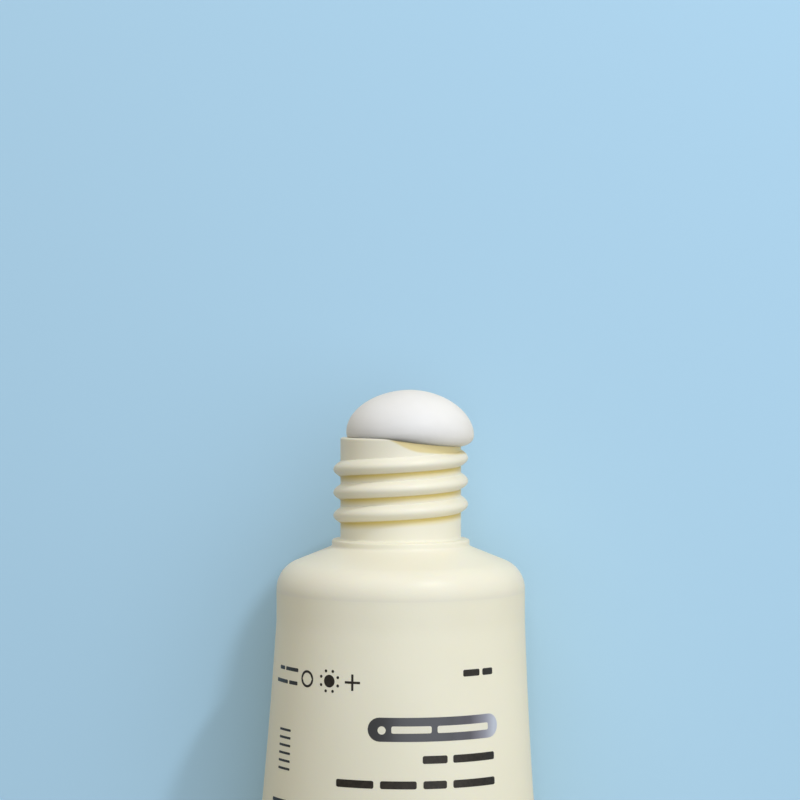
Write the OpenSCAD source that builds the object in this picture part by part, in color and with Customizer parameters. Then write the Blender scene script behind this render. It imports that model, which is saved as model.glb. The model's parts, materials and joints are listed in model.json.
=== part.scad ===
// Squeeze tube of sun cream, opened, with a dollop of cream standing on its
// nozzle. Every piece is drawn upright, with the nozzle up, the front towards
// -Y and height 0 where the sleeve meets the moulded head. lay_down() then
// rests the tube on its back, with the nozzle towards +Y.

/* [Sleeve] */
// Outside diameter of the sleeve's round end
sleeve_d = 35; // [30:0.5:40]
// Length of the sleeve from the head to the tail, with its seal
sleeve_l = 98; // [80:1:130]
// Thickness of the sleeve's film
film_t = 0.5; // [0.3:0.05:0.8]
// Length of the welded seal at the tail
seal_l = 5.5; // [4:0.5:8]
// Share of the sleeve's flare that begins at the head, the rest coming near the tail
early_flare = 0.43; // [0.3:0.01:0.9]
// Depth by which the floor presses the back panel flat at mid length
pressed_h = 1; // [0.2:0.1:1.5]

/* [Head] */
// Length of the skirt that is welded into the sleeve
skirt_l = 4; // [3:0.5:6]
// Wall of the skirt and shoulder
shoulder_t = 1.2; // [0.8:0.1:1.6]
// Height of the shoulder from the sleeve's edge to the flange
shoulder_h = 6.3; // [5.5:0.1:8]
// Slope of the shoulder below the level of the flange, in degrees
shoulder_slope = 22; // [15:1:28]
// Radius of the shoulder's outer corner
corner_r = 4.2; // [2:0.1:4.6]
// Diameter of the flange below the neck
flange_d = 19.4; // [18.8:0.1:21]
// Height of the flange
flange_h = 1; // [0.8:0.1:2]
// Diameter of the neck at the root of its thread
neck_d = 17; // [16:0.1:17.6]
// Height of the neck above the flange
neck_h = 14.3; // [13:0.1:16]
// Wall of the neck
neck_t = 1.3; // [1:0.1:1.8]
// Thickness of the plate that closes the neck round the orifice
plate_t = 1.2; // [0.8:0.1:2]
// Diameter of the orifice
orifice_d = 6; // [3:0.5:9]
// Rounding of the moulded outer edges
edge_r = 0.3; // [0.1:0.05:0.5]

/* [Thread] */
// Diameter over the crest of the thread
thread_d = 19; // [18:0.1:19.4]
// Rise of the thread in one turn
thread_pitch = 3.25; // [3:0.05:3.4]
// Run of the thread's rounded section from its crest towards the tail
lower_run = 1.05; // [0.9:0.05:1.4]
// Run of the thread's rounded section from its crest towards the rim
upper_run = 1.15; // [0.9:0.05:1.4]
// Depth of the thread's crest below the rim, on the right-hand side of its last turn
thread_top = 3; // [2.6:0.05:3.6]
// Angle by which the thread runs on past the right-hand side of its last turn
thread_lead_out = 90; // [60:5:120]
// Whole angle of the thread
thread_turn = 1100; // [900:10:1150]
// Angle in which each end of the thread fades into the neck
thread_fade = 50; // [30:5:80]

/* [Cream] */
// Gap between the cream and the walls that hold it
cream_gap = 0.04; // [0.03:0.01:0.1]
// Width of the dollop
dollop_w = 18; // [14:0.1:19]
// Depth of the dollop from front to back
dollop_d = 17.2; // [14:0.1:19]
// Height of the dollop's dome above its widest level
dome_h = 5.95; // [4:0.05:8]
// Height of the dollop's widest level above the rim
widest_h = 0.75; // [0.5:0.05:2]
// Depth of the dollop's rounded underside below its widest level
lip_h = 1.95; // [1.2:0.05:3]
// Distance of the dollop's middle from the nozzle's axis, towards the right
dollop_shift = 1.4; // [0:0.1:2]
// Distance of the dollop's middle from the nozzle's axis, towards the front
dollop_lean = 0.3; // [0:0.1:1]
// Fall of the dollop's far right side
dollop_droop = 0.45; // [0:0.05:1]

/* [Hidden] */
$fn = 96;

// Clearance between the head's skirt and the sleeve that is welded round it
weld_gap = 0.05;
sleeve_r = sleeve_d / 2;
// Distances down the sleeve: its welded round end, the start of the seal and the cavity's end,
// which lies before the seal by the length in which the two panels close up
round_l = skirt_l;
body_l = sleeve_l - seal_l;
closing_l = 3 * film_t;
cavity_l = body_l - closing_l;
// The floor's line along the back panel
rest_slope = (sleeve_r - film_t) / (body_l - round_l);
lean = atan(rest_slope);

skirt_r = sleeve_r - film_t - weld_gap;
flange_top = shoulder_h + flange_h;
rim_z = flange_top + neck_h;
neck_r = neck_d / 2;
bore_r = neck_r - neck_t;

// Facets round the sleeve and the cream, and rings along them
around = 56;
rings = 17;
// Steps in one turn of the thread and in each half of its section
turn_steps = 36;
run_steps = 5;
// Depths by which the thread's edges and its foot lie in the wall of the neck
edge_sink = 0.05;
foot_sink = 0.35;
// Steps in the shoulder's rounded corner and in the moulded edges
corner_steps = 8;
edge_steps = 3;
// Length of the cream's round plug below the skirt, which lies in the cream of the sleeve
plug_l = 2;
// Facets round the dollop, rings down it and the polar angle of its first and last rings
dollop_around = 44;
dollop_rings = 14;
dollop_tip = 6;
// Powers that round the dollop's dome and square its underside
dome_fullness = 1.05;
lip_fullness = 0.3;

function mix(a, b, share) = a + (b - a) * share;

// Share of the way from the head's weld to the seal, and of the flare from round to flat
function along(u) = max(0, min(1, (u - round_l) / (body_l - round_l)));
function flare(u) = early_flare * along(u) + (1 - early_flare) * pow(along(u), 2);

// Half width of the sleeve. The film keeps its girth, so the seal is half the girth wide
seal_half_w = film_t + PI / 2 * (sleeve_r - film_t);
function half_w(u) = mix(sleeve_r, seal_half_w, flare(u));

// Half depth of an ellipse and of a round-ended slot with that half width and the sleeve's girth
function ellipse_depth(w) =
    (3 * sleeve_r - 2 * w + sqrt(3 * pow(sleeve_r, 2) + 6 * w * sleeve_r - 5 * w * w)) / 3;
function slot_depth(w) = (PI / 2 * sleeve_r - w) / (PI / 2 - 1);

// A section goes from the ellipse to the slot as the sleeve flattens
function slot_share(u) = pow(flare(u), 2);
function half_d(u) = mix(ellipse_depth(half_w(u)), slot_depth(half_w(u)), slot_share(u));

// Depth of the floor behind the axis, and of the section's middle before it
function floor_depth(u) = sleeve_r - rest_slope * max(0, u - round_l);
function middle(u) =
    u <= round_l ? 0 : half_d(u) - floor_depth(u) - 4 * pressed_h * along(u) * (1 - along(u));

// One ring of the sleeve at the distance u from the head, drawn in by an inset
function ring(u, inset) =
    let (
        w = half_w(u),
        slot = slot_depth(w),
        flat = slot_share(u) * (w - slot),
        arc_w = w - inset - flat,
        arc_d = half_d(u) - inset
    )
    [for (i = [0 : around - 1])
        let (
            angle = (i + 0.5) * 360 / around,
            front = middle(u) + arc_d * sin(angle),
            held = max(front, inset - floor_depth(u))
        )
        [arc_w * cos(angle) + flat * sign(cos(angle)), -held, -u]];

function spread(from, to, count) = [for (i = [0 : count]) mix(from, to, i / count)];

function join(lists) = [for (list = lists) each list];

// Faces between consecutive rings of one size, all split along the same diagonal so that one
// skin nests in another, and the fan from a ring to one point
function wall_faces(count, size, first) =
    [for (k = [0 : count - 2], i = [0 : size - 1])
        let (a = first + k * size, b = a + size, next = (i + 1) % size)
        each [[a + i, b + i, b + next], [a + i, b + next, a + next]]];
function fan_faces(first, size, tip) =
    [for (i = [0 : size - 1]) [first + i, first + (i + 1) % size, tip]];
function turned(faces) = [for (face = faces) [for (i = [len(face) - 1 : -1 : 0]) face[i]]];
function centre_of(points) =
    let (sum = [for (p = points) 1] * points)
    sum / len(points);

// Solid through a list of rings, each going clockwise as seen from before the first
module loft(ring_list) {
    size = len(ring_list[0]);
    count = len(ring_list);
    total = size * count;
    polyhedron(
        points = concat(
            join(ring_list),
            [centre_of(ring_list[0])],
            [centre_of(ring_list[count - 1])]
        ),
        faces = concat(
            wall_faces(count, size, 0),
            fan_faces(0, size, total),
            turned(fan_faces(total - size, size, total + 1))
        )
    );
}

// Film sleeve: round at the head, flat at its welded tail, open only at the head
module sleeve() {
    outer_u = concat([0], spread(round_l, body_l, rings), [sleeve_l]);
    inner_u = concat([0], spread(round_l, cavity_l, rings));
    outer = [for (u = outer_u) ring(u, 0)];
    inner = [for (u = inner_u) ring(u, film_t)];
    inner_first = len(outer) * around;
    total = inner_first + len(inner) * around;
    color("cornsilk")
    polyhedron(
        points = concat(
            join(outer),
            join(inner),
            [centre_of(outer[len(outer) - 1])],
            [centre_of(inner[len(inner) - 1])]
        ),
        faces = concat(
            wall_faces(len(outer), around, 0),
            turned(fan_faces(inner_first - around, around, total)),
            turned(wall_faces(len(inner), around, inner_first)),
            fan_faces(total - around, around, total + 1),
            [for (i = [0 : around - 1])
                let (next = (i + 1) % around)
                [i, next, inner_first + next, inner_first + i]]
        )
    );
}

// Height of the shoulder's outer cone at a radius
function cone_z(r) = shoulder_h - tan(shoulder_slope) * (r - flange_d / 2);

// Points of a rounded corner, as [radius, height], between two directions in degrees
function arc(centre, r, from, to, steps) =
    [for (i = [0 : steps])
        let (angle = mix(from, to, i / steps))
        centre + r * [cos(angle), sin(angle)]];

// Half section of the head, from the skirt up the outside and back down the inside
function head_outline() =
    let (
        corner_reach = tan(45 - shoulder_slope / 2),
        corner = min(corner_r, cone_z(sleeve_r) / corner_reach),
        corner_z = cone_z(sleeve_r) - corner * corner_reach,
        inner_drop = shoulder_t / cos(shoulder_slope),
        skirt_bore = skirt_r - shoulder_t
    )
    concat(
        [[skirt_bore, -skirt_l], [skirt_r, -skirt_l], [skirt_r, 0], [sleeve_r, 0]],
        arc([sleeve_r - corner, corner_z], corner, 0, 90 - shoulder_slope, corner_steps),
        [[flange_d / 2, shoulder_h]],
        arc([flange_d / 2 - edge_r, flange_top - edge_r], edge_r, 0, 90, edge_steps),
        [[neck_r, flange_top]],
        arc([neck_r - edge_r, rim_z - edge_r], edge_r, 0, 90, edge_steps),
        [[orifice_d / 2, rim_z], [orifice_d / 2, rim_z - plate_t], [bore_r, rim_z - plate_t]],
        [[bore_r, cone_z(bore_r) - inner_drop], [skirt_bore, cone_z(skirt_bore) - inner_drop]]
    );

// Section of the thread, two half parabolas, as [place along the neck, share of its full height]
thread_section =
    [for (i = [run_steps : -1 : -run_steps])
        let (share = i / run_steps)
        [(share > 0 ? upper_run : lower_run) * share, 1 - share * share]];

// How far the thread has risen out of the neck, from 0 at its ends to 1
function thread_rise(angle) =
    let (share = min(angle, thread_turn - angle) / thread_fade)
    share >= 1 ? 1 : pow(sin(90 * share), 2);

// One section of the thread after it has turned by an angle from its lower end
function thread_ring(angle) =
    let (
        root = neck_r - edge_sink,
        rise = (thread_d / 2 - root) * thread_rise(angle),
        turn = angle - thread_turn + thread_lead_out,
        z = rim_z - thread_top + thread_pitch * turn / 360,
        outside = [for (p = thread_section) [root + rise * p[1], p[0]]],
        ends = [thread_section[len(thread_section) - 1][0], thread_section[0][0]],
        inside = [for (end = ends) [neck_r - foot_sink, end]]
    )
    [for (p = concat(outside, inside)) [p[0] * cos(turn), p[0] * sin(turn), z + p[1]]];

module thread() {
    steps = round(thread_turn / 360 * turn_steps);
    loft([for (i = [0 : steps]) thread_ring(thread_turn * i / steps)]);
}

// Moulded head: skirt, shoulder, flange and threaded neck in one piece
module head() {
    color("cornsilk") {
        rotate_extrude() polygon(head_outline());
        thread();
    }
}

// Half section of the cream in the head, up to the orifice's mouth
function cream_outline() =
    let (
        inner_drop = shoulder_t / cos(shoulder_slope) + cream_gap,
        skirt_bore = skirt_r - shoulder_t - cream_gap,
        bore = bore_r - cream_gap,
        plate_z = rim_z - plate_t - cream_gap
    )
    [
        [0, -skirt_l - plug_l],
        [skirt_bore, -skirt_l - plug_l],
        [skirt_bore, cone_z(skirt_bore) - inner_drop],
        [bore, cone_z(bore) - inner_drop],
        [bore, plate_z],
        [orifice_d / 2 - cream_gap, plate_z],
        [orifice_d / 2 - cream_gap, rim_z + widest_h],
        [0, rim_z + widest_h]
    ];

// One ring of the dollop, at a polar angle from its top. Its underside is the fuller half
function dollop_ring(polar) =
    [for (i = [0 : dollop_around - 1])
        let (
            angle = -i * 360 / dollop_around,
            reach = pow(sin(polar), polar < 90 ? dome_fullness : lip_fullness),
            x = dollop_w / 2 * reach * cos(angle),
            y = dollop_d / 2 * reach * sin(angle),
            z = (polar < 90 ? dome_h : lip_h) * cos(polar),
            fall = dollop_droop * pow(max(0, x) / (dollop_w / 2), 2)
        )
        [x + dollop_shift, y - dollop_lean, rim_z + widest_h + z - fall]];

// Dollop on the rim, clear of the neck that it stands on
module dollop() {
    difference() {
        loft([for (polar = spread(dollop_tip, 180 - dollop_tip, dollop_rings)) dollop_ring(polar)]);
        translate([0, 0, flange_top])
            cylinder(r = neck_r + cream_gap, h = neck_h + cream_gap);
    }
}

// Cream in one mass, from the tail through the orifice to the dollop
module cream() {
    color("white") {
        loft([for (u = spread(round_l, cavity_l, rings))
            ring(max(round_l + cream_gap, min(cavity_l - film_t, u)), film_t + cream_gap)]);
        rotate_extrude() polygon(cream_outline());
        dollop();
    }
}

// Rests the upright tube on its back panel, about the middle of that panel
module lay_down() {
    back_start = sleeve_r * sin(lean) - round_l * cos(lean);
    back_half = ((sleeve_l + round_l) / 2 - round_l) / cos(lean);
    floor_z = sleeve_r * cos(lean) + round_l * sin(lean);
    translate([0, back_half - back_start, floor_z])
        rotate([lean - 90, 0, 0])
            children();
}

lay_down() sleeve();
lay_down() head();
lay_down() cream();
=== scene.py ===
import json
import math
from bisect import bisect_right
from functools import lru_cache

import bmesh
import bpy
from mathutils import Matrix, Vector


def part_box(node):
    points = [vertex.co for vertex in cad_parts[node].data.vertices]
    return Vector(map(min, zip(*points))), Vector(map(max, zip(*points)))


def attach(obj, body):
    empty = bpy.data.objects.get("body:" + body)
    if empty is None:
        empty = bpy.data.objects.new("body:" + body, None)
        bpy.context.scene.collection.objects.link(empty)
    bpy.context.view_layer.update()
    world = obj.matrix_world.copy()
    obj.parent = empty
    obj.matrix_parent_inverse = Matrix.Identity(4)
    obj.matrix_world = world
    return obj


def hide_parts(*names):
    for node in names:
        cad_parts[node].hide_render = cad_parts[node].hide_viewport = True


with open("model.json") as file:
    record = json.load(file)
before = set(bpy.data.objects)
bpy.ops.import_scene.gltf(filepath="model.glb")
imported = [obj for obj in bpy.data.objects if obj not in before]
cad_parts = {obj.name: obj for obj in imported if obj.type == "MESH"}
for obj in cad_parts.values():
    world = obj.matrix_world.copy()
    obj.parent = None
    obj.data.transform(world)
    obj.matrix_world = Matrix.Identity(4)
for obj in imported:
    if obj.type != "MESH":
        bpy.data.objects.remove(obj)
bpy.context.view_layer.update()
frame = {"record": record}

# Sizes in millimetres and the thread's turns in degrees, as in the part's source. Heights
# count from the sleeve's edge at the head, along the nozzle's axis, and distances down the
# sleeve from the same edge.
MM = 0.001
HEAD_LOW, HEAD_HIGH = (Vector(corner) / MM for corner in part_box("head"))
SLEEVE_R = (HEAD_HIGH.x - HEAD_LOW.x) / 2
FILM_T = 0.5
WELD_GAP = 0.05
SKIRT_L = 4.0
SLEEVE_L = 98.0
SEAL_L = 5.5
EARLY_FLARE = 0.43
PRESSED_H = 1.0

SHOULDER_T = 1.2
SHOULDER_H = 6.3
SHOULDER_SLOPE = math.radians(22)
CORNER_R = 4.2
FLANGE_R = 9.7
FLANGE_H = 1.0
NECK_R = 8.5
NECK_H = 14.3
NECK_T = 1.3
PLATE_T = 1.2
ORIFICE_R = 3.0
EDGE_R = 0.3

CREST_R = 9.5
THREAD_PITCH = 3.25
LOWER_RUN = 1.05
UPPER_RUN = 1.15
THREAD_TOP = 3.0
THREAD_LEAD_OUT = 90.0
THREAD_TURN = 1100.0
THREAD_FADE = 50.0

CREAM_GAP = 0.04
DOLLOP_RX = 9.0
DOLLOP_RY = 8.6
DOME_H = 5.95
WIDEST_H = 0.75
LIP_H = 1.95
DOLLOP_SHIFT = 1.4
DOLLOP_LEAN = 0.3
DOLLOP_DROOP = 0.45
DOME_FULLNESS = 1.05
LIP_FULLNESS = 0.3

BODY_L = SLEEVE_L - SEAL_L
CLOSING_L = 3 * FILM_T
CAVITY_L = BODY_L - CLOSING_L
FLANGE_TOP = SHOULDER_H + FLANGE_H
RIM_Z = FLANGE_TOP + NECK_H
BORE_R = NECK_R - NECK_T
SKIRT_R = SLEEVE_R - FILM_T - WELD_GAP
REST_SLOPE = (SLEEVE_R - FILM_T) / (BODY_L - SKIRT_L)
SEAL_HALF_W = FILM_T + math.pi / 2 * (SLEEVE_R - FILM_T)

# Fineness of the meshes: points round the sleeve, the head and the cream, and over half of
# the sleeve's section
SLEEVE_AROUND = 480
HEAD_AROUND = 256
CREAM_AROUND = 192
SECTION_STEPS = 240
# Steps down the sleeve, inside and outside, and the place before the seal of the last
# ring inside that isn't the cavity's end
INNER_STEPS = 9
SKIRT_STEPS = 6
BODY_STEPS = 96
SEAL_STEPS = 24
LAST_INNER_L = 8.0
# Steps round the head's corner and small edges, and the height of a step up its neck
CORNER_STEPS = 22
EDGE_STEPS = 6
NECK_STEP = 0.09
# Steps over the dollop and down the fill
DOLLOP_STEPS = 96
FILL_STEPS = 30
# Share of the way over the dollop at which its first ring stands round the top
DOLLOP_TIP = 0.01
# Halvings in the search for the place where the dollop meets the head
HALVINGS = 30

# Ribs that the sealing jaws press into the tail, how far from the seal's ends and sides
# they begin and the lengths over which they deepen
POINTS_PER_RIB = 6
RIB_PITCH = POINTS_PER_RIB * math.tau * SLEEVE_R / SLEEVE_AROUND
RIB_DEPTH = 0.12
RIB_END = 0.4
RIB_END_FADE = 0.5
RIB_SIDE = 0.6
RIB_SIDE_FADE = 0.6

# Angle above which an edge between two faces stays sharp
SHARP_ANGLE = math.radians(38)
# Distance in metres within which two points are one
SAME_PLACE = 1e-7
# Distance in millimetres within which a radius is the neck's
NEAR = 1e-6


def mix(a, b, share):
    return a + (b - a) * share


def smooth(share):
    share = min(1.0, max(0.0, share))
    return share * share * (3 - 2 * share)


def spread(start, end, count):
    return [mix(start, end, i / count) for i in range(count + 1)]


# Placing

def nozzle_frame():
    """Matrix from the upright tube's millimetres to the resting tube's metres."""
    mounts = {mount["name"]: mount for mount in frame["record"]["mounts"]}
    axis = Vector(mounts["cap_thread"]["axis"]).normalized()
    across = Vector((1, 0, 0))
    back = axis.cross(across)
    origin = Vector(mounts["cap_thread"]["pos_m"]) - axis * FLANGE_TOP * MM
    turn = Matrix((across, back, axis)).transposed().to_4x4()
    return Matrix.Translation(origin) @ turn @ Matrix.Scale(MM, 4)


PLACE = nozzle_frame()


def mesh_object(name, points, faces, material, node=None):
    """Piece on the root body and in place of a CAD node if it has one."""
    mesh = bpy.data.meshes.new(name)
    mesh.from_pydata([PLACE @ Vector(p) for p in points], [], faces)
    sheet = bmesh.new()
    sheet.from_mesh(mesh)
    bmesh.ops.remove_doubles(sheet, verts=sheet.verts, dist=SAME_PLACE)
    bmesh.ops.recalc_face_normals(sheet, faces=sheet.faces)
    sheet.to_mesh(mesh)
    sheet.free()
    mesh.shade_smooth()
    mesh.set_sharp_from_angle(angle=SHARP_ANGLE)
    mesh.materials.append(material)
    piece = bpy.data.objects.new(name, mesh)
    bpy.context.scene.collection.objects.link(piece)
    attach(piece, "root")
    if node:
        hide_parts(node)
    return piece


def ring_faces(count, size, wrap=False):
    """Faces between rings of one size, and from the last ring to the first if they wrap."""
    faces = []
    for k in range(count if wrap else count - 1):
        a, b = k * size, (k + 1) % count * size
        for i in range(size):
            j = (i + 1) % size
            faces.append((a + i, b + i, b + j, a + j))
    return faces


def closed_loft(rings):
    """Points and faces through rings of one size, with a fan at each end."""
    size = len(rings[0])
    points = [p for ring in rings for p in ring]
    faces = ring_faces(len(rings), size)
    for first, ring in ((0, rings[0]), (len(points) - size, rings[-1])):
        points.append(tuple(sum(p[i] for p in ring) / size for i in range(3)))
        tip = len(points) - 1
        faces += [(first + i, first + (i + 1) % size, tip) for i in range(size)]
    return points, faces


# Sleeve

def along(u):
    """Share of the way down the sleeve, from the skirt's end to the seal."""
    return min(1.0, max(0.0, (u - SKIRT_L) / (BODY_L - SKIRT_L)))


def flare(u):
    """Share of the way from the round section's width to the seal's."""
    return EARLY_FLARE * along(u) + (1 - EARLY_FLARE) * along(u) ** 2


def ellipse_depth(w):
    """Half the depth of the ellipse of half the width w that has the sleeve's girth."""
    r = SLEEVE_R
    return (3 * r - 2 * w + math.sqrt(3 * r * r + 6 * w * r - 5 * w * w)) / 3


def slot_depth(w):
    """Half the depth of the slot with round sides that has the sleeve's girth."""
    return (math.pi / 2 * SLEEVE_R - w) / (math.pi / 2 - 1)


def floor_depth(u):
    """Distance from the nozzle's axis back to the floor."""
    return SLEEVE_R - REST_SLOPE * max(0.0, u - SKIRT_L)


@lru_cache(maxsize=None)
def half_section(u, inset):
    """Right half of the sleeve's section, as points and lengths from front to back."""
    w = mix(SLEEVE_R, SEAL_HALF_W, flare(u))
    share = flare(u) ** 2
    slot = slot_depth(w)
    depth = mix(ellipse_depth(w), slot, share)
    flat = share * (w - slot)
    pressed = 4 * PRESSED_H * along(u) * (1 - along(u))
    middle = 0.0 if u <= SKIRT_L else depth - floor_depth(u) - pressed
    outline = [(0.0, -(middle + depth - inset))]
    for i in range(SECTION_STEPS + 1):
        angle = math.pi * (0.5 - i / SECTION_STEPS)
        x = (w - inset - flat) * math.cos(angle) + flat
        front = max(middle + (depth - inset) * math.sin(angle), inset - floor_depth(u))
        outline.append((x, -front))
    outline.append((0.0, outline[-1][1]))
    lengths = [0.0]
    for a, b in zip(outline, outline[1:]):
        lengths.append(lengths[-1] + math.dist(a, b))
    return outline, lengths


def section_point(u, inset, share):
    """Point at a share of the way round, from the front over the right-hand side."""
    outline, lengths = half_section(u, inset)
    side = 1 if share <= 0.5 else -1
    wanted = 2 * min(share, 1 - share) * lengths[-1]
    high = min(bisect_right(lengths, wanted), len(lengths) - 1)
    low = high - 1
    step = lengths[high] - lengths[low]
    part = (wanted - lengths[low]) / step if step else 0.0
    x = mix(outline[low][0], outline[high][0], part)
    y = mix(outline[low][1], outline[high][1], part)
    return side * x, y, -u


def sleeve_ring(u, inset):
    return [section_point(u, inset, i / SLEEVE_AROUND) for i in range(SLEEVE_AROUND)]


def ribbed_ring(u):
    """Ring of the seal, grooved between its ribs from edge to edge."""
    from_end = min(u - BODY_L, SLEEVE_L - u)
    depth = RIB_DEPTH * smooth((from_end - RIB_END) / RIB_END_FADE)
    girth = 2 * half_section(u, 0.0)[1][-1]
    ring = []
    for i, (x, y, z) in enumerate(sleeve_ring(u, 0.0)):
        length = girth * i / SLEEVE_AROUND
        groove = depth * (0.5 - 0.5 * math.cos(math.tau * length / RIB_PITCH))
        edge = smooth((SEAL_HALF_W - abs(x) - RIB_SIDE) / RIB_SIDE_FADE)
        front = 1 if 4 * abs(i / SLEEVE_AROUND - 0.5) > 1 else -1
        ring.append((x, y + front * groove * edge, z))
    return ring


def make_sleeve(film):
    inner = [CAVITY_L] + spread(BODY_L - LAST_INNER_L, SKIRT_L, INNER_STEPS) + [0.0]
    outer = spread(0.0, SKIRT_L, SKIRT_STEPS) + spread(SKIRT_L, BODY_L, BODY_STEPS)[1:]
    seal = spread(BODY_L, SLEEVE_L, SEAL_STEPS)[1:]
    rings = [sleeve_ring(u, FILM_T) for u in inner] + [sleeve_ring(u, 0.0) for u in outer]
    points, faces = closed_loft(rings + [ribbed_ring(u) for u in seal])
    mesh_object("film_sleeve", points, faces, film, "sleeve")


# Head

def arc(centre_r, centre_z, r, start, end, steps):
    turns = [math.radians(angle) for angle in spread(start, end, steps)]
    return [(centre_r + r * math.cos(turn), centre_z + r * math.sin(turn)) for turn in turns]


def line(start, end, steps):
    """Points after the start, up to the end."""
    return [(mix(start[0], end[0], i / steps), mix(start[1], end[1], i / steps))
            for i in range(1, steps + 1)]


def cone_z(r):
    """Height of the shoulder's cone at a radius."""
    return SHOULDER_H - math.tan(SHOULDER_SLOPE) * (r - FLANGE_R)


def head_profile():
    """Closed section of the head, as radius and height."""
    slope = math.degrees(SHOULDER_SLOPE)
    corner_z = cone_z(SLEEVE_R) - CORNER_R * math.tan(math.radians(45 - slope / 2))
    drop = SHOULDER_T / math.cos(SHOULDER_SLOPE)
    skirt_bore = SKIRT_R - SHOULDER_T
    profile = [(skirt_bore, -SKIRT_L)]
    profile += line(profile[-1], (SKIRT_R, -SKIRT_L), 1)
    profile += line(profile[-1], (SKIRT_R, 0.0), 3)
    profile += line(profile[-1], (SLEEVE_R, 0.0), 1)
    profile += arc(SLEEVE_R - CORNER_R, corner_z, CORNER_R, 0, 90 - slope, CORNER_STEPS)
    fillet = EDGE_R / 2
    foot = FLANGE_R + fillet
    profile += line(profile[-1], (foot, cone_z(foot)), 14)
    profile += line(profile[-1], (FLANGE_R, SHOULDER_H + fillet), 2)
    profile += line(profile[-1], (FLANGE_R, FLANGE_TOP - EDGE_R), 4)
    profile += arc(FLANGE_R - EDGE_R, FLANGE_TOP - EDGE_R, EDGE_R, 0, 90, EDGE_STEPS)[1:]
    profile += line(profile[-1], (NECK_R + EDGE_R, FLANGE_TOP), 2)
    profile += arc(NECK_R + EDGE_R, FLANGE_TOP + EDGE_R, EDGE_R, 270, 180, 5)[1:]
    neck_steps = round((NECK_H - 2 * EDGE_R) / NECK_STEP)
    profile += line(profile[-1], (NECK_R, RIM_Z - EDGE_R), neck_steps)
    profile += arc(NECK_R - EDGE_R, RIM_Z - EDGE_R, EDGE_R, 0, 90, EDGE_STEPS)[1:]
    profile += line(profile[-1], (ORIFICE_R, RIM_Z), 4)
    profile += line(profile[-1], (ORIFICE_R, RIM_Z - PLATE_T), 2)
    profile += line(profile[-1], (BORE_R, RIM_Z - PLATE_T), 2)
    profile += line(profile[-1], (BORE_R, cone_z(BORE_R) - drop), 6)
    profile += line(profile[-1], (skirt_bore, cone_z(skirt_bore) - drop), 4)
    profile += line(profile[-1], (skirt_bore, -SKIRT_L), 4)[:-1]
    return profile


# Breadths in which the shade under a turn begins and fades out
GROOVE_EDGE = 0.2
GROOVE_REACH = 1.15
# How far the cream's lip hangs down the neck where its shade begins and where it is full,
# how far the shade goes there, how soft its edge is and how deep it is beside a groove's
LIP_HANGS = (0.3, 0.9)
LIP_REACH = 1.2
LIP_EDGE = 0.35
LIP_SHADE = 0.7


def thread_rise(turn):
    """How far the thread has risen out of the neck, from 0 at its ends to 1."""
    from_end = min(turn + THREAD_TURN - THREAD_LEAD_OUT, THREAD_LEAD_OUT - turn)
    return smooth(from_end / THREAD_FADE)


def thread_laps(turn, z):
    """Place of a height among the thread's laps at a turn in degrees."""
    return (z - RIM_Z + THREAD_TOP) / THREAD_PITCH - turn / 360


def thread_share(turn, z):
    """Share of the thread's full height at a turn in degrees and a height."""
    laps = thread_laps(turn, z)
    offset = (laps - round(laps)) * THREAD_PITCH
    run = UPPER_RUN if offset > 0 else LOWER_RUN
    return max(0.0, 1 - (offset / run) ** 2) * thread_rise(turn + 360 * round(laps))


def groove_share(turn, z):
    """How deep a place lies in the shade of the turn above it, from 0 to 1."""
    laps = thread_laps(turn, z)
    above = math.ceil(laps)
    below_foot = (above - laps) * THREAD_PITCH - LOWER_RUN
    shade = smooth(1 + below_foot / GROOVE_EDGE) * smooth(1 - below_foot / GROOVE_REACH)
    return shade * thread_rise(turn + 360 * above)


def lip_share(lip_z, z):
    """How deep a place on the neck lies in the shade of the cream's lip above it, from 0 to 1."""
    hang = (RIM_Z - lip_z - LIP_HANGS[0]) / (LIP_HANGS[1] - LIP_HANGS[0])
    return LIP_SHADE * smooth((LIP_REACH * smooth(hang) - (lip_z - z)) / LIP_EDGE)


def on_neck(r, z):
    return abs(r - NECK_R) < NEAR and FLANGE_TOP < z < RIM_Z


def head_point(r, z, angle):
    if on_neck(r, z):
        r += (CREST_R - NECK_R) * thread_share(angle, z)
    return r * math.cos(math.radians(angle)), r * math.sin(math.radians(angle)), z


def make_head(moulding):
    angles = [360 * i / HEAD_AROUND for i in range(HEAD_AROUND)]
    profile = head_profile()
    points = [head_point(r, z, angle) for r, z in profile for angle in angles]
    faces = ring_faces(len(profile), HEAD_AROUND, wrap=True)
    head = mesh_object("moulded_head", points, faces, moulding, "head")
    # Painted shade on the neck: tan in the grooves under each turn and under the cream's lip,
    # kept in the shade attribute
    lips = [dollop_point(a, underside_end(a))[2] for a in map(math.radians, angles)]
    shares = [max(groove_share(angle, z), lip_share(lip, z)) if on_neck(r, z) else 0.0
              for r, z in profile for angle, lip in zip(angles, lips)]
    shade = head.data.attributes.new("shade", "FLOAT", "POINT")
    shade.data.foreach_set("value", shares)


# Cream

CREAM_ANGLES = [math.tau * i / CREAM_AROUND - math.pi / 2 for i in range(CREAM_AROUND)]


def dollop_point(angle, polar):
    """Point of the dollop's skin at an angle round it and an angle down from its top."""
    cosine = math.cos(polar)
    fullness = DOME_FULLNESS if cosine > 0 else LIP_FULLNESS
    reach = max(0.0, math.sin(polar)) ** fullness
    x = DOLLOP_RX * reach * math.cos(angle)
    y = DOLLOP_RY * reach * math.sin(angle)
    z = (DOME_H if cosine > 0 else LIP_H) * cosine
    fall = DOLLOP_DROOP * (max(0.0, x) / DOLLOP_RX) ** 2
    return x + DOLLOP_SHIFT, y - DOLLOP_LEAN, RIM_Z + WIDEST_H + z - fall


def meets_neck(point):
    x, y, z = point
    return math.hypot(x, y) < NECK_R + CREAM_GAP and z < RIM_Z + CREAM_GAP


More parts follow.
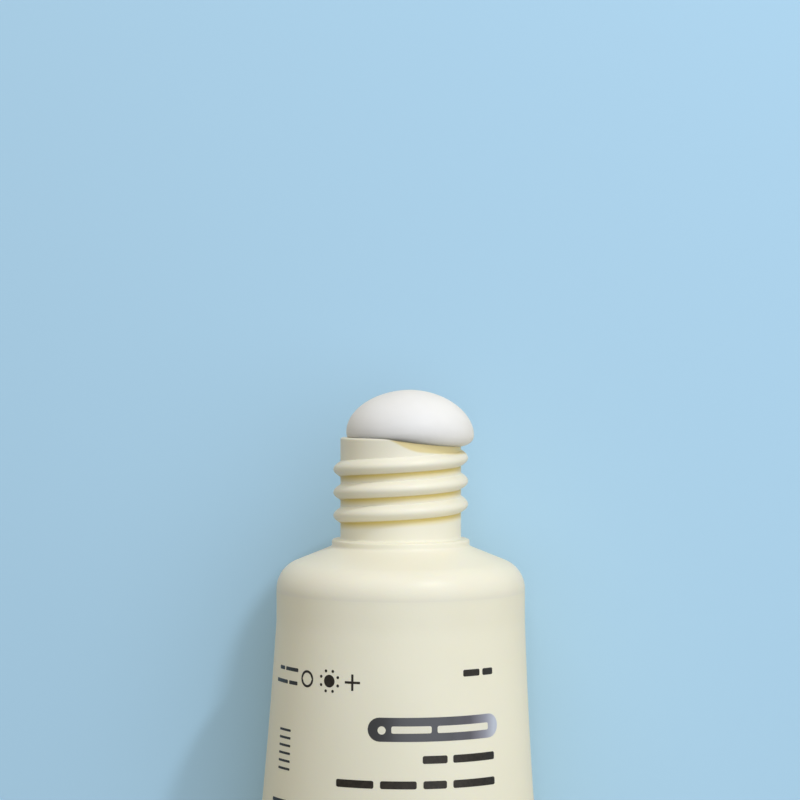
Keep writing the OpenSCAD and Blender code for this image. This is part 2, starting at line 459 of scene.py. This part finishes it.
def underside_end(angle):
    """Polar angle at which the dollop's underside meets the rim or the neck."""
    low, high = math.pi / 2, math.pi
    for _ in range(HALVINGS):
        half = (low + high) / 2
        if meets_neck(dollop_point(angle, half)):
            high = half
        else:
            low = half
    return low


def dollop_rings():
    """Rings over the dollop, under its lip and back to the orifice's mouth."""
    ends = [underside_end(angle) for angle in CREAM_ANGLES]
    rings = [[dollop_point(angle, end * share) for angle, end in zip(CREAM_ANGLES, ends)]
             for share in spread(DOLLOP_TIP, 1.0, DOLLOP_STEPS)]
    hit = rings[-1]
    top = RIM_Z + CREAM_GAP
    rings += [[(x, y, mix(z, top, share)) for x, y, z in hit] for share in (0.5, 1.0)]
    inside = [(ORIFICE_R - CREAM_GAP) / math.hypot(x, y) for x, y, _ in hit]
    rings += [[(x * mix(1, k, share), y * mix(1, k, share), top)
               for (x, y, _), k in zip(hit, inside)] for share in (0.5, 1.0)]
    return rings


def fill_rings():
    """Rings of the cream inside the head and the sleeve, from the orifice to the tail."""
    drop = SHOULDER_T / math.cos(SHOULDER_SLOPE) + CREAM_GAP
    skirt_bore = SKIRT_R - SHOULDER_T - CREAM_GAP
    bore = BORE_R - CREAM_GAP
    plate_z = RIM_Z - PLATE_T - CREAM_GAP
    profile = [
        (ORIFICE_R - CREAM_GAP, plate_z), (bore, plate_z), (bore, cone_z(bore) - drop),
        (skirt_bore, cone_z(skirt_bore) - drop), (skirt_bore, -SKIRT_L - CREAM_GAP),
    ]
    rings = [[(r * math.cos(angle), r * math.sin(angle), z) for angle in CREAM_ANGLES]
             for r, z in profile]
    inset = FILM_T + CREAM_GAP
    for u in spread(SKIRT_L + CREAM_GAP, CAVITY_L - FILM_T, FILL_STEPS):
        rings.append([section_point(u, inset, i / CREAM_AROUND) for i in range(CREAM_AROUND)])
    return rings


def make_cream(cream):
    points, faces = closed_loft(dollop_rings() + fill_rings())
    mesh_object("cream_dollop", points, faces, cream, "cream")


# Print. Places are millimetres round the film from the middle of the front, to the right
# as the nozzle points up, and millimetres down the film from the head.

# Thickness of the ink, and half the gap between a ring's two halves
INK_T = 0.02
HAIRLINE = 0.005
# Distance over which the film's slope is measured
SLOPE_STEP = 0.05
# Angle from the end of a round corner or ring at which its first column stands
FIRST_TURN = 0.05
CORNER_COLUMNS = 6
RING_COLUMNS = 24
# Width of a column and height of a row inside a bar
COLUMN_W = 0.6
ROW_H = 1.0


def film_point(s, v, lift):
    """Point at a height above the film's skin."""
    girth = 2 * half_section(v, 0.0)[1][-1]
    here, right, below = (
        Vector(section_point(max(0.0, b), 0.0, (a / girth) % 1.0))
        for a, b in ((s, v), (s + SLOPE_STEP, v), (s, v + SLOPE_STEP))
    )
    normal = (right - here).cross(here - below).normalized()
    return here + lift * normal


class Print:
    """Thin raised patches of one ink, each a strip of columns round the film."""

    def __init__(self, lift=INK_T):
        self.points = []
        self.faces = []
        self.lift = lift

    def strip(self, columns, rows=1):
        """Patch through columns of (place, upper end, lower end)."""
        size = rows + 1
        first = len(self.points)
        for lift in (self.lift, -INK_T):
            for s, upper, lower in columns:
                self.points += [film_point(s, v, lift) for v in spread(upper, lower, rows)]
        count = len(columns)
        under = first + count * size
        for i in range(count - 1):
            for j in range(rows):
                a = i * size + j
                quad = (a, a + size, a + size + 1, a + 1)
                self.faces.append(tuple(first + k for k in quad))
                self.faces.append(tuple(under + k for k in reversed(quad)))
        rim = [i * size for i in range(count)]
        rim += [(count - 1) * size + j for j in range(1, size)]
        rim += [i * size + rows for i in range(count - 2, -1, -1)]
        rim += [j for j in range(rows - 1, 0, -1)]
        for a, b in zip(rim, rim[1:] + rim[:1]):
            self.faces.append((first + a, under + a, under + b, first + b))

    def bar(self, left, right, upper, lower, corner):
        """Patch with straight sides and round corners."""
        corner = min(corner, (right - left) / 2, (lower - upper) / 2)
        turns = spread(FIRST_TURN, math.pi / 2, CORNER_COLUMNS)
        ends = [(corner * (1 - math.cos(a)), corner * (1 - math.sin(a))) for a in turns]
        middle = max(1, round((right - left - 2 * corner) / COLUMN_W))
        columns = [(left + d, upper + cut, lower - cut) for d, cut in ends]
        columns += [(mix(left + corner, right - corner, i / middle), upper, lower)
                    for i in range(1, middle)]
        columns += [(right - d, upper + cut, lower - cut) for d, cut in reversed(ends)]
        self.strip(columns, rows=max(1, round((lower - upper) / ROW_H)))

    def dot(self, s, v, r):
        self.bar(s - r, s + r, v - r, v + r, corner=r)

    def ring(self, s, v, outer, inner):
        """Two half rings with a hairline between them, too fine to see."""
        for side in (-1, 1):
            columns = []
            for angle in spread(math.pi - FIRST_TURN, FIRST_TURN, RING_COLUMNS):
                reach = outer * math.sin(angle)
                across = outer * math.cos(angle)
                hole = math.sqrt(max(HAIRLINE ** 2, inner * inner - across * across))
                ends = sorted((side * hole, side * reach))
                columns.append((s + across, v + ends[0], v + ends[1]))
            self.strip(columns)

    def words(self, left, top, height, widths, gap):
        """Line of bars with round ends."""
        for width in widths:
            self.bar(left, left + width, top, top + height, corner=height / 4)
            left += width + gap

    def make(self, name, material):
        mesh_object(name, self.points, self.faces, material)


# Left and right ends of the badge, and its upper and lower edges
BADGE = (-1.0, 17.7, 15.3, 18.5)
# Dot and bars inside the badge, from its left end and its middle line
BADGE_DOT = (1.9, 0.1, 0.55)
BADGE_BARS = (3.2, -0.45, 0.95, (5.4, 7.6), 0.8)
# Line on which the signs on the left stand, and their places round the film
SIGN_LINE = 10.8
SUN_S = -6.7
SUN_R = 0.85
SUN_RAYS = 8
RAY_REACH = 1.7 * SUN_R
RAY_R = 0.2
PLUS_S = -3.2
PLUS_REACH = 1.1
PLUS_HALF_W = 0.16
PLUS_CORNER = 0.05
RING_S = -10.6
RING_R = 1.15
RING_W = 0.32
# Rungs down the left-hand side
RUNGS = 6
RUNG_LEFT = -16.6
RUNG_TOP = 18.0
RUNG_PITCH = 1.05
RUNG_L = 2.8
RUNG_W = 0.32
RUNG_CORNER = 0.1
# Lines of bars: left end, upper edge, height, widths and the gap between two bars
LINES = (
    (-17.5, SIGN_LINE - 1.2, 0.5, (1.5, 3.1), 0.4),
    (-18.4, SIGN_LINE + 0.6, 0.5, (3.4, 2.0), 0.4),
    (12.1, 9.2, 0.9, (2.6, 1.8), 0.5),
    (6.4, 20.4, 1.05, (3.4, 6.4), 0.8),
    (-5.5, 23.75, 1.05, (5.3, 4.9, 3.2, 6.4), 0.9),
    (-17.8, 27.6, 0.5, (3.5,), 0.4),
)


def print_badge(foil, pale):
    left, right, upper, lower = BADGE
    middle = (upper + lower) / 2
    badge = Print()
    badge.bar(left, right, upper, lower, (lower - upper) / 2)
    badge.make("foil_badge", foil)

    s, v, r = BADGE_DOT
    first, top, height, widths, gap = BADGE_BARS
    inset = Print(lift=2 * INK_T)
    inset.dot(left + s, middle + v, r)
    inset.words(left + first, middle + top, height, widths, gap)
    inset.make("badge_marks", pale)


def print_ink(ink):
    marks = Print()
    marks.dot(SUN_S, SIGN_LINE, SUN_R)
    for i in range(SUN_RAYS):
        angle = math.tau * (i + 0.5) / SUN_RAYS
        across, down = RAY_REACH * math.cos(angle), RAY_REACH * math.sin(angle)
        marks.dot(SUN_S + across, SIGN_LINE + down, RAY_R)
    left, right = PLUS_S - PLUS_HALF_W, PLUS_S + PLUS_HALF_W
    upper, lower = SIGN_LINE - PLUS_HALF_W, SIGN_LINE + PLUS_HALF_W
    marks.bar(PLUS_S - PLUS_REACH, PLUS_S + PLUS_REACH, upper, lower, PLUS_CORNER)
    marks.bar(left, right, SIGN_LINE - PLUS_REACH, upper, PLUS_CORNER)
    marks.bar(left, right, lower, SIGN_LINE + PLUS_REACH, PLUS_CORNER)
    marks.ring(RING_S, SIGN_LINE, RING_R, RING_R - RING_W)
    for i in range(RUNGS):
        top = RUNG_TOP + RUNG_PITCH * i
        marks.bar(RUNG_LEFT, RUNG_LEFT + RUNG_L, top, top + RUNG_W, RUNG_CORNER)
    for bars in LINES:
        marks.words(*bars)
    marks.make("ink_marks", ink)


# Materials. Colours are written as they are seen, from 0 to 1, and turned to linear light.

def linear(colour):
    return [c / 12.92 if c <= 0.04045 else ((c + 0.055) / 1.055) ** 2.4 for c in colour] + [1.0]


def new_material(name):
    material = bpy.data.materials.new(name)
    material.use_nodes = True
    nodes = material.node_tree.nodes
    return material, nodes, material.node_tree.links, nodes["Principled BSDF"]


def set_sockets(shader, values):
    for socket, value in values.items():
        shader.inputs[socket].default_value = value


def add_noise(nodes, links, scale, detail):
    """Noise over the piece's own metres, with its grain's size as a number per metre."""
    place = nodes.new("ShaderNodeTexCoord")
    noise = nodes.new("ShaderNodeTexNoise")
    set_sockets(noise, {"Scale": scale, "Detail": detail})
    links.new(place.outputs["Object"], noise.inputs["Vector"])
    return noise.outputs["Fac"]


def add_ramp(nodes, links, factor, stops):
    ramp = nodes.new("ShaderNodeValToRGB")
    links.new(factor, ramp.inputs["Fac"])
    while len(ramp.color_ramp.elements) < len(stops):
        ramp.color_ramp.elements.new(0.5)
    for element, (position, colour) in zip(ramp.color_ramp.elements, stops):
        element.position = position
        element.color = linear(colour)
    return ramp.outputs["Color"]


def add_product(nodes, links, colour_a, colour_b):
    product = nodes.new("ShaderNodeMix")
    product.data_type = "RGBA"
    product.blend_type = "MULTIPLY"
    product.inputs["Factor"].default_value = 1.0
    links.new(colour_a, product.inputs["A"])
    links.new(colour_b, product.inputs["B"])
    return product.outputs["Result"]


def add_bump(nodes, links, shader, height, distance, strength, before=None):
    """Bump of a height in metres, over the bump before it if there is one."""
    bump = nodes.new("ShaderNodeBump")
    set_sockets(bump, {"Strength": strength, "Distance": distance})
    links.new(height, bump.inputs["Height"])
    if before:
        links.new(before, bump.inputs["Normal"])
    links.new(bump.outputs["Normal"], shader.inputs["Normal"])
    return bump.outputs["Normal"]


def film_material():
    """Satin ivory film, a little cloudy, with the faint grain of blown polyethylene."""
    material, nodes, links, shader = new_material("film")
    set_sockets(shader, {
        "Roughness": 0.4, "IOR": 1.5, "Specular IOR Level": 0.25,
        "Subsurface Weight": 0.1, "Subsurface Radius": (1.0, 0.75, 0.25),
        "Subsurface Scale": 0.0008,
    })
    cloud = add_noise(nodes, links, 45, 3)
    tint = add_ramp(nodes, links, cloud,
                    [(0.3, (0.955, 0.945, 0.868)), (0.7, (0.97, 0.962, 0.893))])
    links.new(tint, shader.inputs["Base Color"])
    grain = add_bump(nodes, links, shader, add_noise(nodes, links, 2600, 2), 0.000012, 0.5)
    add_bump(nodes, links, shader, add_noise(nodes, links, 90, 2), 0.00015, 0.35, grain)
    return material


def moulding_material():
    """Ivory moulding with a fine grain, and painted tan shade where light would scatter between
    its ridges and under the cream's lip.
    """
    material, nodes, links, shader = new_material("moulding")
    set_sockets(shader, {
        "Roughness": 0.38, "IOR": 1.5, "Specular IOR Level": 0.35,
        "Subsurface Weight": 0.12, "Subsurface Radius": (1.0, 0.72, 0.2),
        "Subsurface Scale": 0.0008,
    })
    cloud = add_noise(nodes, links, 70, 2)
    tint = add_ramp(nodes, links, cloud,
                    [(0.3, (0.945, 0.935, 0.866)), (0.7, (0.96, 0.951, 0.891))])
    # Painted shade: the shade attribute darkens the ivory towards tan
    shade = nodes.new("ShaderNodeAttribute")
    shade.attribute_name = "shade"
    tan = add_ramp(nodes, links, shade.outputs["Fac"],
                   [(0.0, (1, 1, 1)), (1.0, (0.94, 0.865, 0.57))])
    links.new(add_product(nodes, links, tint, tan), shader.inputs["Base Color"])
    add_bump(nodes, links, shader, add_noise(nodes, links, 3200, 3), 0.00001, 0.5)
    return material


def cream_material():
    """Moist white cream with soft ripples."""
    material, nodes, links, shader = new_material("cream")
    set_sockets(shader, {
        "Roughness": 0.45, "IOR": 1.42, "Specular IOR Level": 0.2,
        "Subsurface Weight": 1.0, "Subsurface Radius": (1.0, 0.98, 0.95),
        "Subsurface Scale": 0.004,
    })
    cloud = add_noise(nodes, links, 160, 3)
    tint = add_ramp(nodes, links, cloud,
                    [(0.3, (0.925, 0.93, 0.944)), (0.7, (0.94, 0.945, 0.959))])
    links.new(tint, shader.inputs["Base Color"])
    add_bump(nodes, links, shader, add_noise(nodes, links, 420, 3), 0.00018, 0.35)
    return material


def ink_material():
    """Near-black screen ink with a slight unevenness."""
    material, nodes, links, shader = new_material("ink")
    set_sockets(shader, {"Roughness": 0.42, "Specular IOR Level": 0.4})
    wear = add_noise(nodes, links, 2400, 3)
    tint = add_ramp(nodes, links, wear,
                    [(0.35, (0.15, 0.135, 0.12)), (0.7, (0.21, 0.19, 0.165))])
    links.new(tint, shader.inputs["Base Color"])
    return material


# Where across the tube the foil's painted reflection begins to pale it, and where it is palest
FOIL_FADE = (10.0, 14.9)


def foil_material():
    """Stamped foil, graphite on the left and pale on the right, the pale end a painted reflection
    of a lamp.
    """
    material, nodes, links, shader = new_material("foil")
    set_sockets(shader, {"Roughness": 0.3, "Metallic": 0.55})
    place = nodes.new("ShaderNodeTexCoord")
    parts = nodes.new("ShaderNodeSeparateXYZ")
    links.new(place.outputs["Object"], parts.inputs["Vector"])
    reach = nodes.new("ShaderNodeMapRange")
    set_sockets(reach, {"From Min": FOIL_FADE[0] * MM, "From Max": FOIL_FADE[1] * MM})
    links.new(parts.outputs["X"], reach.inputs["Value"])
    # Painted reflection: the base colour turns pale towards the foil's right end
    tint = add_ramp(nodes, links, reach.outputs["Result"],
                    [(0.0, (0.33, 0.335, 0.355)), (0.45, (0.45, 0.45, 0.49)),
                     (0.8, (0.68, 0.68, 0.74)), (1.0, (0.88, 0.87, 0.9))])
    links.new(tint, shader.inputs["Base Color"])
    return material


# Floor, light and camera

# Colour of the floor and the backdrop as they are seen, and the floor's colour for the
# light that it throws back
PALE_BLUE = (0.7, 0.86, 0.975)
BOUNCE = (0.82, 0.77, 0.64)
BACKDROP_STRENGTH = 0.6
FLOOR_SIZE = 3.0
# Light from all round, and the lamps' two tints, as linear light
WORLD_LIGHT = (1.0, 0.94, 0.8, 1.0)
WORLD_STRENGTH = 0.25
COOL = (0.93, 0.96, 1.0)
WARM = (1.0, 0.95, 0.87)
# Lamps: turn and rise in degrees, distance and size in metres, power in watts, and tint
LAMPS = {
    "key": (36, 50, 0.7, 0.05, 1.35, COOL),
    "softbox": (20, 14, 0.8, 0.9, 3.5, COOL),
    "side_fill": (75, 15, 0.7, 0.5, 0.35, COOL),
    "top_fill": (-40, 60, 0.7, 0.5, 1.1, WARM),
}


def make_floor():
    material, nodes, links, shader = new_material("floor")
    set_sockets(shader, {"Roughness": 0.7, "Specular IOR Level": 0.2})
    path = nodes.new("ShaderNodeLightPath")
    seen = path.outputs["Is Camera Ray"]
    for ray in ("Is Glossy Ray", "Is Transmission Ray"):
        either = nodes.new("ShaderNodeMath")
        either.operation = "MAXIMUM"
        links.new(seen, either.inputs[0])
        links.new(path.outputs[ray], either.inputs[1])
        seen = either.outputs["Value"]
    tint = nodes.new("ShaderNodeMix")
    tint.data_type = "RGBA"
    links.new(seen, tint.inputs["Factor"])
    tint.inputs["A"].default_value = linear(BOUNCE)
    tint.inputs["B"].default_value = linear(PALE_BLUE)
    links.new(tint.outputs["Result"], shader.inputs["Base Color"])
    bpy.ops.mesh.primitive_plane_add(size=FLOOR_SIZE)
    floor = bpy.context.object
    floor.name = "floor"
    floor.data.materials.append(material)


def aim(thing, place, target, up):
    """Set a thing at a place with its own z pointing away from the target."""
    back = (place - target).normalized()
    right = up.cross(back).normalized()
    turn = Matrix((right, back.cross(right), back)).transposed()
    thing.matrix_world = Matrix.Translation(place) @ turn.to_4x4()


# The camera stands to the right of the front's middle and looks almost square on to the
# nozzle's axis. Its distance and aim are in the tube's millimetres, its clip in metres.
CAMERA_TURN = math.radians(11)
CAMERA_PITCH = math.radians(0.46)
CAMERA_DISTANCE = 313.3
AIM_ABOVE_RIM = 5.25
AIM_LEFT = 0.1
LENS = 100
SENSOR_W = 36
CLIP_START = 0.01

TOWARDS_CAMERA = Vector((math.sin(CAMERA_TURN), -math.cos(CAMERA_TURN), 0))
CAMERA_RIGHT = Vector((math.cos(CAMERA_TURN), math.sin(CAMERA_TURN), 0))
NOZZLE_UP = Vector((0, 0, 1))


def to_world(direction):
    return (PLACE.to_3x3() @ direction).normalized()


def make_camera():
    data = bpy.data.cameras.new("camera")
    data.lens = LENS
    data.sensor_width = SENSOR_W
    data.clip_start = CLIP_START
    camera = bpy.data.objects.new("camera", data)
    bpy.context.scene.collection.objects.link(camera)
    target = Vector((0, 0, RIM_Z + AIM_ABOVE_RIM)) - AIM_LEFT * CAMERA_RIGHT
    back = math.cos(CAMERA_PITCH) * TOWARDS_CAMERA + math.sin(CAMERA_PITCH) * NOZZLE_UP
    aim(camera, PLACE @ (target + CAMERA_DISTANCE * back), PLACE @ target, to_world(NOZZLE_UP))
    bpy.context.scene.camera = camera


def make_lamp(name, turn, rise, distance, size, power, colour):
    """Square lamp, turned to the right of the camera's side and raised towards the nozzle."""
    turn, rise = math.radians(turn), math.radians(rise)
    right, near = math.sin(turn) * math.cos(rise), math.cos(turn) * math.cos(rise)
    up = math.sin(rise)
    data = bpy.data.lights.new(name, "AREA")
    data.size = size
    data.energy = power
    data.color = colour
    lamp = bpy.data.objects.new(name, data)
    bpy.context.scene.collection.objects.link(lamp)
    away = to_world(right * CAMERA_RIGHT + up * NOZZLE_UP + near * TOWARDS_CAMERA)
    target = PLACE @ Vector((0, 0, 0))
    aim(lamp, target + away * distance, target, to_world(NOZZLE_UP))


def make_light():
    world = bpy.data.worlds.new("studio")
    bpy.context.scene.world = world
    world.use_nodes = True
    nodes, links = world.node_tree.nodes, world.node_tree.links
    light = nodes["Background"]
    set_sockets(light, {"Color": WORLD_LIGHT, "Strength": WORLD_STRENGTH})
    backdrop = nodes.new("ShaderNodeBackground")
    set_sockets(backdrop, {"Color": linear(PALE_BLUE), "Strength": BACKDROP_STRENGTH})
    path = nodes.new("ShaderNodeLightPath")
    either = nodes.new("ShaderNodeMixShader")
    links.new(path.outputs["Is Camera Ray"], either.inputs["Fac"])
    links.new(light.outputs["Background"], either.inputs[1])
    links.new(backdrop.outputs["Background"], either.inputs[2])
    links.new(either.outputs["Shader"], nodes["World Output"].inputs["Surface"])
    for name, values in LAMPS.items():
        make_lamp(name, *values)
    bpy.context.scene.view_settings.view_transform = "Standard"


def main():
    make_camera()
    make_floor()
    make_light()
    film = film_material()
    make_sleeve(film)
    make_head(moulding_material())
    make_cream(cream_material())
    print_badge(foil_material(), film)
    print_ink(ink_material())


main()
